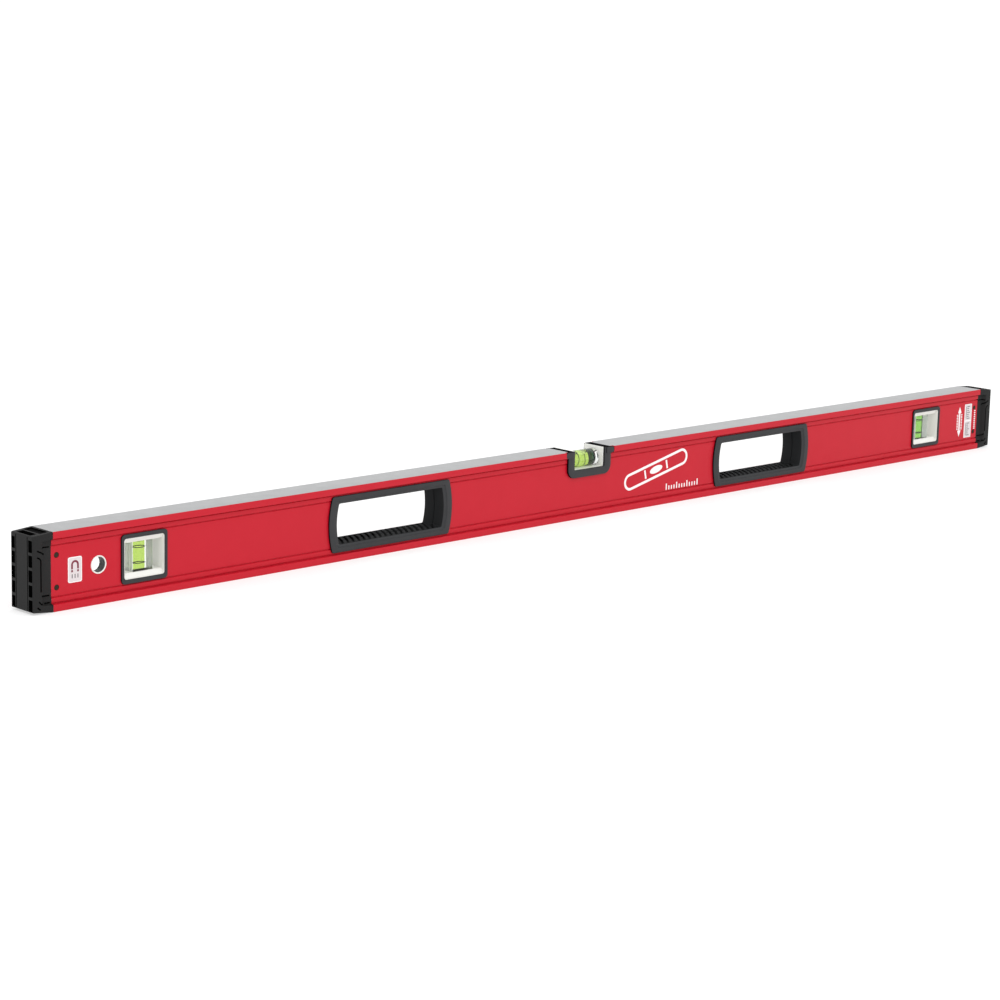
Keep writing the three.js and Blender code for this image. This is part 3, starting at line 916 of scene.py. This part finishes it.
def notch_side(way, high):
    """At one side of the notch: a rounded ear for the cut in the flange, a thin liner along the end wall
    and a shoulder let into the top. The surround's highest corner is high."""
    inside = way * (SURROUND["opening"] + 2.1)
    ear = along_y(filleted([
        (inside, high.z - 0.05, 0.8), (way * high.x, high.z - 0.05, 1.8),
        (way * high.x, EAR_LOW, 2.2), (inside, EAR_LOW, 0.8),
    ]), -BEAM_HALF + 0.02, -SEAT - 0.2)
    near, far = sorted((way * LINER["near"], way * LINER["far"]))
    liner = block((near, -LINER["depth"], LINER["low"]), (far, -0.1, high.z - 0.07))
    near, far = sorted((way * (LINER["far"] - 0.4), way * (SHOULDER["far"] - 0.1)))
    shoulder = block((near, -SEAT - 0.6, SHOULDER["low"] + 0.1), (far, -0.14, SHOULDER["high"]))
    return [in_triangles(soften(ear, 0.4)), in_triangles(liner), in_triangles(soften(shoulder, 0.1))]


def u_path(floor, top, half, corner, steps=8, drop=12):
    """Points down the left arm of a U, round its two corners and up the right arm, in X and Z."""
    left = [(-half, top + (floor + corner - top) * index / drop) for index in range(drop)]
    left += arc((-half + corner, floor + corner), corner, 180, 270, steps)
    return left + [(-x, z) for x, z in reversed(left)]


def level_vial():
    """The white trough, the clear barrel and what is sealed in it."""
    low, high = span("level_housing")
    barrel_low, barrel_high = span("level_barrel")
    floor = SURROUND["floor"]
    trough = along_y(filleted([
        (low.x, low.z, 0.3), (high.x, low.z, 0.3), (high.x, high.z, 0.3), (barrel_high.x, high.z, 0.3),
        (barrel_high.x, floor, 0.5), (barrel_low.x, floor, 0.5), (barrel_low.x, high.z, 0.3),
        (low.x, high.z, 0.3),
    ]), low.y, high.y)
    finish_piece(trough, "level_vial_trough", WHITE, "white_plastic", "level_housing")
    centre = (0, 0, (barrel_low.z + barrel_high.z) / 2)
    barrel = capsule(centre, "x", barrel_high.y, barrel_low.x + 0.02, barrel_high.x - 0.02, 0.5)
    finish_piece(barrel, "level_vial_barrel", ACRYLIC, "clear_acrylic", "level_barrel")
    low, high = span("level_liquid")
    spirit = capsule(centre, "x", LEVEL_BORE, low.x, high.x, 0.8)
    finish_piece(spirit, "level_vial_spirit", SPIRIT, "green_spirit", "level_liquid")
    foot = high.x + PLUG_FOOT
    plug_end = span("level_plug")[1].x
    plug = capsule(centre, "x", LEVEL_BORE - PLUG_GAP, high.x + 0.05, plug_end, 0.25, [foot])
    # The plug's foot is painted dark green as the refracted dark wall behind the spirit.
    coloured(plug, (INK, REFRACTION_GREEN), lambda face: int(face.center.x / MM < foot))
    finish_piece(plug, "level_vial_plug", INK, "black_plastic", "level_plug")
    for place in ("left", "right"):
        node = f"level_ring_{place}"
        ring = tube_ring((middle(node).x, 0, centre[2]), "x", LEVEL_BORE + RING_GAP, 0.8)
        finish_piece(ring, f"level_vial_ring_{place}", INK, "ring_ink", node)
    bubble("level_vial_bubble", "level_bubble")


# ---- end caps

def cap_plug(side):
    """The hard plug in the beam's end, with the pegs that lock it in the four holes."""
    node = f"{side}_cap_plug"
    low, high = span(node)
    wall = CAVITY_HALF - FIT
    start, end = sorted((abs(low.x), abs(high.x)))
    shape = along_x(cavity_outline(FIT), start, end)
    half_width, half_height = SOCKET["half_width"], SOCKET["half_height"]
    combine(shape, [block(
        (end - SOCKET["depth"], -half_width, MID_Z - half_height),
        (end + OVERSHOOT, half_width, MID_Z + half_height),
    )])
    soften(shape, 0.3, 2)
    pegs = []
    for place in peg_places("right"):
        for way in (-1, 1):
            near, far = sorted((way * (wall - 1), way * (WEB - 0.1)))
            pegs.append(capsule(place, "y", PEG_RADIUS, near, far, 0.3))
    combine(shape, pegs, "UNION")
    coloured(shape, (PLASTIC, PEG), lambda face: int(abs(face.center.y / MM) > wall + 0.2))
    if side == "left":
        turned_round(shape)
    finish_piece(shape, f"{side}_end_plug", PLASTIC, "black_plastic", node)


def bumper(side):
    """The rubber bumper: a skirt as the beam's section, a ramp out to a full block, and its slots."""
    node = f"{side}_cap_bumper"
    low, high = span(node)
    start = BEAM_HIGH.x
    end = max(abs(low.x), abs(high.x))
    skirt_end = end - CAP_BLOCK
    stations = [
        (start, 0, 0.4),
        (start + 0.5, 0, 0),
        (skirt_end - CAP_RAMP, 0, 0),
        (skirt_end, 1, 0),
        (end - 1.2, 1, 0),
        (end - 0.5, 1, 0.15),
        (end - 0.15, 1, 0.35),
        (end, 1, 0.6),
    ]
    shape = in_triangles(loft([bumper_ring(start, end, *station) for station in stations]))
    half_width, half_height = TONGUE["half_width"], TONGUE["half_height"]
    tongue = block(
        (start - TONGUE["depth"], -half_width, MID_Z - half_height),
        (start + 1, half_width, MID_Z + half_height),
    )
    combine(shape, [soften(tongue, 0.5)], "UNION")
    # Painted shade: the faces of the slots, trays and grooves are coloured near black.
    coloured(shape, (RUBBER, BLACK_SHADE), lambda face: 0)
    cutters = [*slot_cutters(end), *top_trays(end), *panel_grooves(end), *pad_grooves(end)]
    for cutter in cutters:
        coloured(cutter, (RUBBER, BLACK_SHADE), lambda face: 1)
    combine(shape, cutters)
    if side == "left":
        turned_round(shape)
    body = f"{side}_bumper"
    finish_piece(shape, f"{side}_bumper_rubber", RUBBER, "black_rubber", node, body)


def bumper_section():
    """The skirt's outline. It follows the beam's, with plain sloping steps."""
    return mirrored_section([
        (BEAM_HALF, 0, 0.6),
        (BEAM_HALF, FLANGE, 0),
        (SEAT, FLANGE + 0.3, 0),
        (SEAT, BAND - 0.2, 0),
        (WEB, BAND + 0.2, 0),
    ])


def bumper_ring(start, end, x, share, inset):
    """The outline at x: the skirt's section, tapering towards the end, with its web pushed out by share
    and its whole edge inset."""
    along = (x - start) / (end - start)
    bottom = inset + CAP_TAPER["bottom"] * along
    top = BEAM_TOP - inset - CAP_TAPER["top"] * along
    ring = []
    for y, z in bumper_section():
        half = abs(y)
        if FLANGE - 1 < z < BEAM_TOP - FLANGE + 1:
            half += (BEAM_HALF - half) * share
        half *= (BEAM_HALF - inset) / BEAM_HALF
        ring.append((x, math.copysign(half, y), bottom + z * (top - bottom) / BEAM_TOP))
    return ring


def slot_cutters(end):
    """Two columns of slots in the end face."""
    cutters = []
    for y in (-SLOT["offset"], SLOT["offset"]):
        for index in range(SLOT_COUNT):
            height = SLOT_MIDDLE + (index - (SLOT_COUNT - 1) / 2) * SLOT_PITCH
            cutter = block(
                (end - SLOT["depth"], y - SLOT["width"] / 2, height - SLOT["height"] / 2),
                (end + OVERSHOOT, y + SLOT["width"] / 2, height + SLOT["height"] / 2),
            )
            cutters.append(soften(cutter, 0.4))
    return cutters


def top_trays(end):
    """Two shallow trays in the bumper's top, the deeper one towards its end."""
    return [
        block(
            (end - tray["start"], -tray["half"], BEAM_TOP - tray["depth"]),
            (end - tray["end"], tray["half"], BEAM_TOP + OVERSHOOT),
        )
        for tray in CAP_TRAYS
    ]


def ribbon(path, width):
    """The two edges of a stroke of even width along a path of 2-D points."""
    edges = []
    for index, place in enumerate(path):
        before = Vector(path[max(index - 1, 0)])
        after = Vector(path[min(index + 1, len(path) - 1)])
        run = (after - before).normalized()
        across = Vector((-run.y, run.x)) * width / 2
        edges.append((Vector(place) + across, Vector(place) - across))
    return edges


def panel_grooves(end):
    """Two upright grooves in the end face, with the plain panel between them."""
    grooves = []
    for y in (-CAP_PANEL["offset"], CAP_PANEL["offset"]):
        path = [(y, CAP_PANEL["low"]), (y, CAP_PANEL["high"])]
        grooves.append(loft([
            [(end + 1, *left), (end + 1, *right), (end - CAP_PANEL["depth"], *right),
             (end - CAP_PANEL["depth"], *left)]
            for left, right in ribbon(path, CAP_PANEL["width"])
        ]))
    return grooves


def side_groove(path, way, end):
    """A cutter along a path of (x, z) points on one side of the bumper, at an even depth below it."""
    rings = []
    face = way * (BEAM_HALF + 0.3)
    for (x, z), (left, right) in zip(path, ribbon(path, PAD_LINE["width"])):
        out = min(max((x - end + CAP_BLOCK + CAP_RAMP) / CAP_RAMP, 0), 1)
        floor = way * (WEB + (BEAM_HALF - WEB) * out - PAD_LINE["depth"])
        rings.append([
            (left.x, face, left.y), (right.x, face, right.y),
            (right.x, floor, right.y), (left.x, floor, left.y),
        ])
    return loft(rings)


def pad_grooves(end):
    """The lines pressed into each side of the bumper: a pad's outline and its finger marks."""
    start = BEAM_HIGH.x
    paths = [
        [(start + 1.6, 51.6), (end - 11.4, 51.8), (end - 9.6, 51.4), (end - 8.9, 51.0)],
        [(end - 12.6, 46.2), (end - 7.9, 48.6), (end - 4.2, 50.4)],
        [(end - 4.2, 45.2), (end - 6.6, 43.9), (end - 7.6, 42.6), (end - 7.6, 17.6)],
        [(start + 1.6, 13.2), (end - 10.0, 13.4), (end - 8.4, 15.0)],
        [(start + 1.6, 7.6), (end - 8.0, 7.8), (end - 5.6, 10.2)],
        [(end - 7.2, 3.4), (end - 4.2, 5.8)],
    ]
    return [in_triangles(side_groove(path, way, end)) for path in paths for way in (-1, 1)]


# ---- hang hole

def hang_hole():
    """Two sleeves that line the hole and a raised ring on each face."""
    # The rear sleeve glows as painted light.
    linings = {"front": (PLASTIC, "black_plastic"), "rear": (LIT_SLEEVE, "white_plastic")}
    for face, way in FACES.items():
        node = f"hang_hole_{face}_sleeve"
        low, high = span(node)
        profile = [(HANG_BORE, low.y), (HANG_BORE, high.y), (HANG_SLEEVE, high.y), (HANG_SLEEVE, low.y)]
        sleeve = spun(profile, "y", HANG_CENTRE, wrap=True)
        finish_piece(sleeve, f"hang_sleeve_{face}", *linings[face], node)
        node = f"hang_hole_{face}_eyelet"
        low, high = span(node)
        inner, outer = sorted((abs(low.y), abs(high.y)))
        half = (HANG_RIM - HANG_BORE) / 2
        profile = [(HANG_BORE, inner), *arc((HANG_BORE + half, outer - half), half, 180, 0, 8)]
        profile.append((HANG_RIM, inner))
        ring = spun([(radius, way * y) for radius, y in profile], "y", HANG_CENTRE, wrap=True)
        finish_piece(ring, f"hang_ring_{face}", WHITE, "white_plastic", node)


# ---- printed plates and marks

def printed(name, outlines, rise, surface, node=None):
    """Flat marks on the front of the web, each a closed outline in X and Z, standing proud by rise."""
    shapes = [along_y(outline, -WEB - rise, -WEB + MARK_SINK) for outline in outlines]
    finish_piece(merged(shapes), name, surface, "label_film", node)


def printed_line(name, outer, inner):
    """An even white line round a shape, between two outlines with equal counts of points."""
    front = -WEB - MARK_RISE
    back = -WEB + MARK_SINK
    corners = ((outer, front), (outer, back), (inner, back), (inner, front))
    rings = [[(x, y, z) for x, z in outline] for outline, y in corners]
    finish_piece(loft(rings, wrap=True), name, PRINT_WHITE, "label_film")


def moved(outline, x, z, turn=0):
    """An outline turned by an angle in degrees and then moved."""
    cosine = math.cos(math.radians(turn))
    sine = math.sin(math.radians(turn))
    return [(x + px * cosine - pz * sine, z + px * sine + pz * cosine) for px, pz in outline]


def bar_mark(x, z, width, height, turn=0):
    """A bar with slightly rounded corners, its middle at x and z."""
    return moved(rounded(width, height, min(width, height) * 0.2, steps=3), x, z, turn)


def magnet_plate():
    """A pale plate with a horseshoe magnet and three ticks."""
    low, high = span("magnet_label")
    centre = (low + high) / 2
    width, height = high.x - low.x, high.z - low.z
    border = moved(rounded(width, height, 1.6), centre.x, centre.z)
    printed("magnet_plate_border", [border], PLATE_RISE, PRINT_WHITE, "magnet_label")
    field = moved(rounded(width - 1.4, height - 1.4, 1.1), centre.x, centre.z)
    printed("magnet_plate_field", [field], FIELD_RISE, FILM)
    outside, inside, leg = 3.6, 2.0, 3.4
    top = centre.z + 3.9
    horseshoe = arc((centre.x, top), outside, 0, 180, 16)
    horseshoe += [(centre.x - outside, top - leg), (centre.x - inside, top - leg)]
    horseshoe += arc((centre.x, top), inside, 180, 0, 16)
    horseshoe += [(centre.x + inside, top - leg), (centre.x + outside, top - leg)]
    tips = [bar_mark(centre.x + way * (outside + inside) / 2, top - 4.9, 1.6, 1.7) for way in (-1, 1)]
    printed("magnet_plate_horseshoe", [horseshoe, *tips], FIGURE_RISE, PRINT_RED)
    ticks = [bar_mark(centre.x + place * 2.7, top - 9.0, 0.8, 3.2) for place in (-1, 0, 1)]
    printed("magnet_plate_ticks", ticks, FIGURE_RISE, PRINT_GREY)


def size_plate():
    """A pale plate with a dimension line and ruler ticks in each of its two fields."""
    low, high = span("size_label")
    centre = (low + high) / 2
    width, height = high.x - low.x, high.z - low.z
    plate = moved(rounded(width, height, 0.4), centre.x, centre.z)
    printed("size_plate", [plate], PLATE_RISE, PRINT_WHITE, "size_label")
    field = rounded(width - 1.6, height / 2 - 1.2, 0.3)
    fields = [moved(field, centre.x, centre.z + way * (height / 4 + 0.1)) for way in (-1, 1)]
    printed("size_plate_fields", fields, FIELD_RISE, FILM)
    line_x = centre.x - 3.2
    tick_x = centre.x - 1.9
    marks = [bar_mark(line_x, centre.z + way * height / 4, 0.7, 13.0) for way in (-1, 1)]
    for way in (-1, 1):
        for index in range(7):
            length = 4.6 if index % 3 == 0 else 2.8
            z = centre.z + way * height / 4 + (index - 3) * 2.1
            marks.append(bar_mark(tick_x + length / 2, z, length, 0.8))
    printed("size_plate_ticks", marks, FIGURE_RISE, PRINT_GREY)


def arrow_marks():
    """The double arrow beside the size plate and the column of dots beyond it, in white."""
    x, low, high = 561.0, 15.6, 47.2
    head, half, shaft = 6.4, 2.9, 1.1
    right = [(half, high - head), (shaft, high - head), (shaft, low + head), (half, low + head)]
    left = [(-across, z) for across, z in reversed(right)]
    arrow = [(x + across, z) for across, z in [(0, high), *right, (0, low), *left]]
    ticks = []
    for index in range(10):
        z = 23.5 + index * 1.7
        ticks.append(bar_mark(x - 3.3, z, 2.6, 0.9))
        ticks.append(bar_mark(x + 3.5, z, 2.2, 0.9))
    printed("use_arrow", [arrow, *ticks], MARK_RISE, PRINT_WHITE)
    dots = [bar_mark(587.2, 22.0 + index * 2.1, 2.2, 1.2) for index in range(10)]
    printed("end_dots", dots, MARK_RISE, PRINT_WHITE)


def vial_mark():
    """A generic picture of a vial, slanting up the web, with a row of ticks below it."""
    place = (92.0, 34.0, 13.0)
    outer = rounded(88.0, 16.0, 7.9, steps=10)
    inner = rounded(83.2, 11.2, 5.5, steps=10)
    printed_line("vial_mark_outline", moved(outer, *place), moved(inner, *place))
    turns = [math.tau * index / 40 for index in range(40)]
    vial_bubble = [(8.6 * math.cos(turn), 3.3 * math.sin(turn)) for turn in turns]
    marks = [moved(vial_bubble, *place)]
    for across in (-15.0, 15.0):
        bar_place = moved([(across, 0)], *place)[0]
        marks.append(bar_mark(*bar_place, 2.0, 8.4, place[2]))
    printed("vial_mark_bubble", marks, MARK_RISE, PRINT_WHITE)
    ticks = []
    for index in range(13):
        height = 6.0 if index % 4 == 0 else 3.8
        ticks.append(bar_mark(107.0 + index * 3.6, 12.6 + height / 2, 1.4, height))
    printed("tick_row", ticks, MARK_RISE, PRINT_WHITE)


# ---- camera and light

def camera():
    """The photograph's point of view."""
    view = bpy.data.cameras.new("camera")
    view.lens = CAMERA["lens"]
    view.sensor_width = CAMERA["sensor"]
    view.clip_start = 0.05
    view.clip_end = 200
    holder = placed("camera", view)
    right = Vector(CAMERA_RIGHT)
    back = right.cross(Vector(CAMERA_UP)).normalized()
    up = back.cross(right).normalized()
    turn = Matrix((right.normalized(), up, back)).transposed().to_4x4()
    holder.matrix_world = Matrix.Translation(CAMERA["place"]) @ turn
    bpy.context.scene.camera = holder


def studio():
    """A pale floor under a soft even light."""
    reach = FLOOR_REACH
    floor = block((-reach, -reach, -0.5), (reach, reach, -0.02))
    floor.name = "floor"
    floor.data.materials.append(grained(
        "floor_paper", (0.55, 0.55, 0.55), (0.555, 0.555, 0.555),
        rough=(0.8, 0.9), grain=60, relief=0.01, specular=0.1, glow=0.5,
    ))
    world = bpy.data.worlds.new("studio")
    world.use_nodes = True
    sky = world.node_tree.nodes["Background"]
    sky.inputs["Color"].default_value = (1, 1, 1, 1)
    sky.inputs["Strength"].default_value = SKY_STRENGTH
    bpy.context.scene.world = world
    lamp = bpy.data.lights.new("softbox", "AREA")
    lamp.energy = SOFTBOX["energy"]
    lamp.size = SOFTBOX["size"]
    softbox = placed("softbox", lamp)
    softbox.location = SOFTBOX["place"]
    softbox.rotation_euler = (-softbox.location).to_track_quat("-Z", "Y").to_euler()
    bpy.context.scene.view_settings.view_transform = "Standard"


beam()
magnets()
for side in SIDES:
    for face in FACES:
        grip(side, face)
        plumb_bezel(side, face)
    plumb_housing(side)
    plumb_vial(side)
    cap_plug(side)
    bumper(side)
for face in FACES:
    level_surround(face)
level_vial()
hang_hole()
magnet_plate()
size_plate()
arrow_marks()
vial_mark()
camera()
studio()
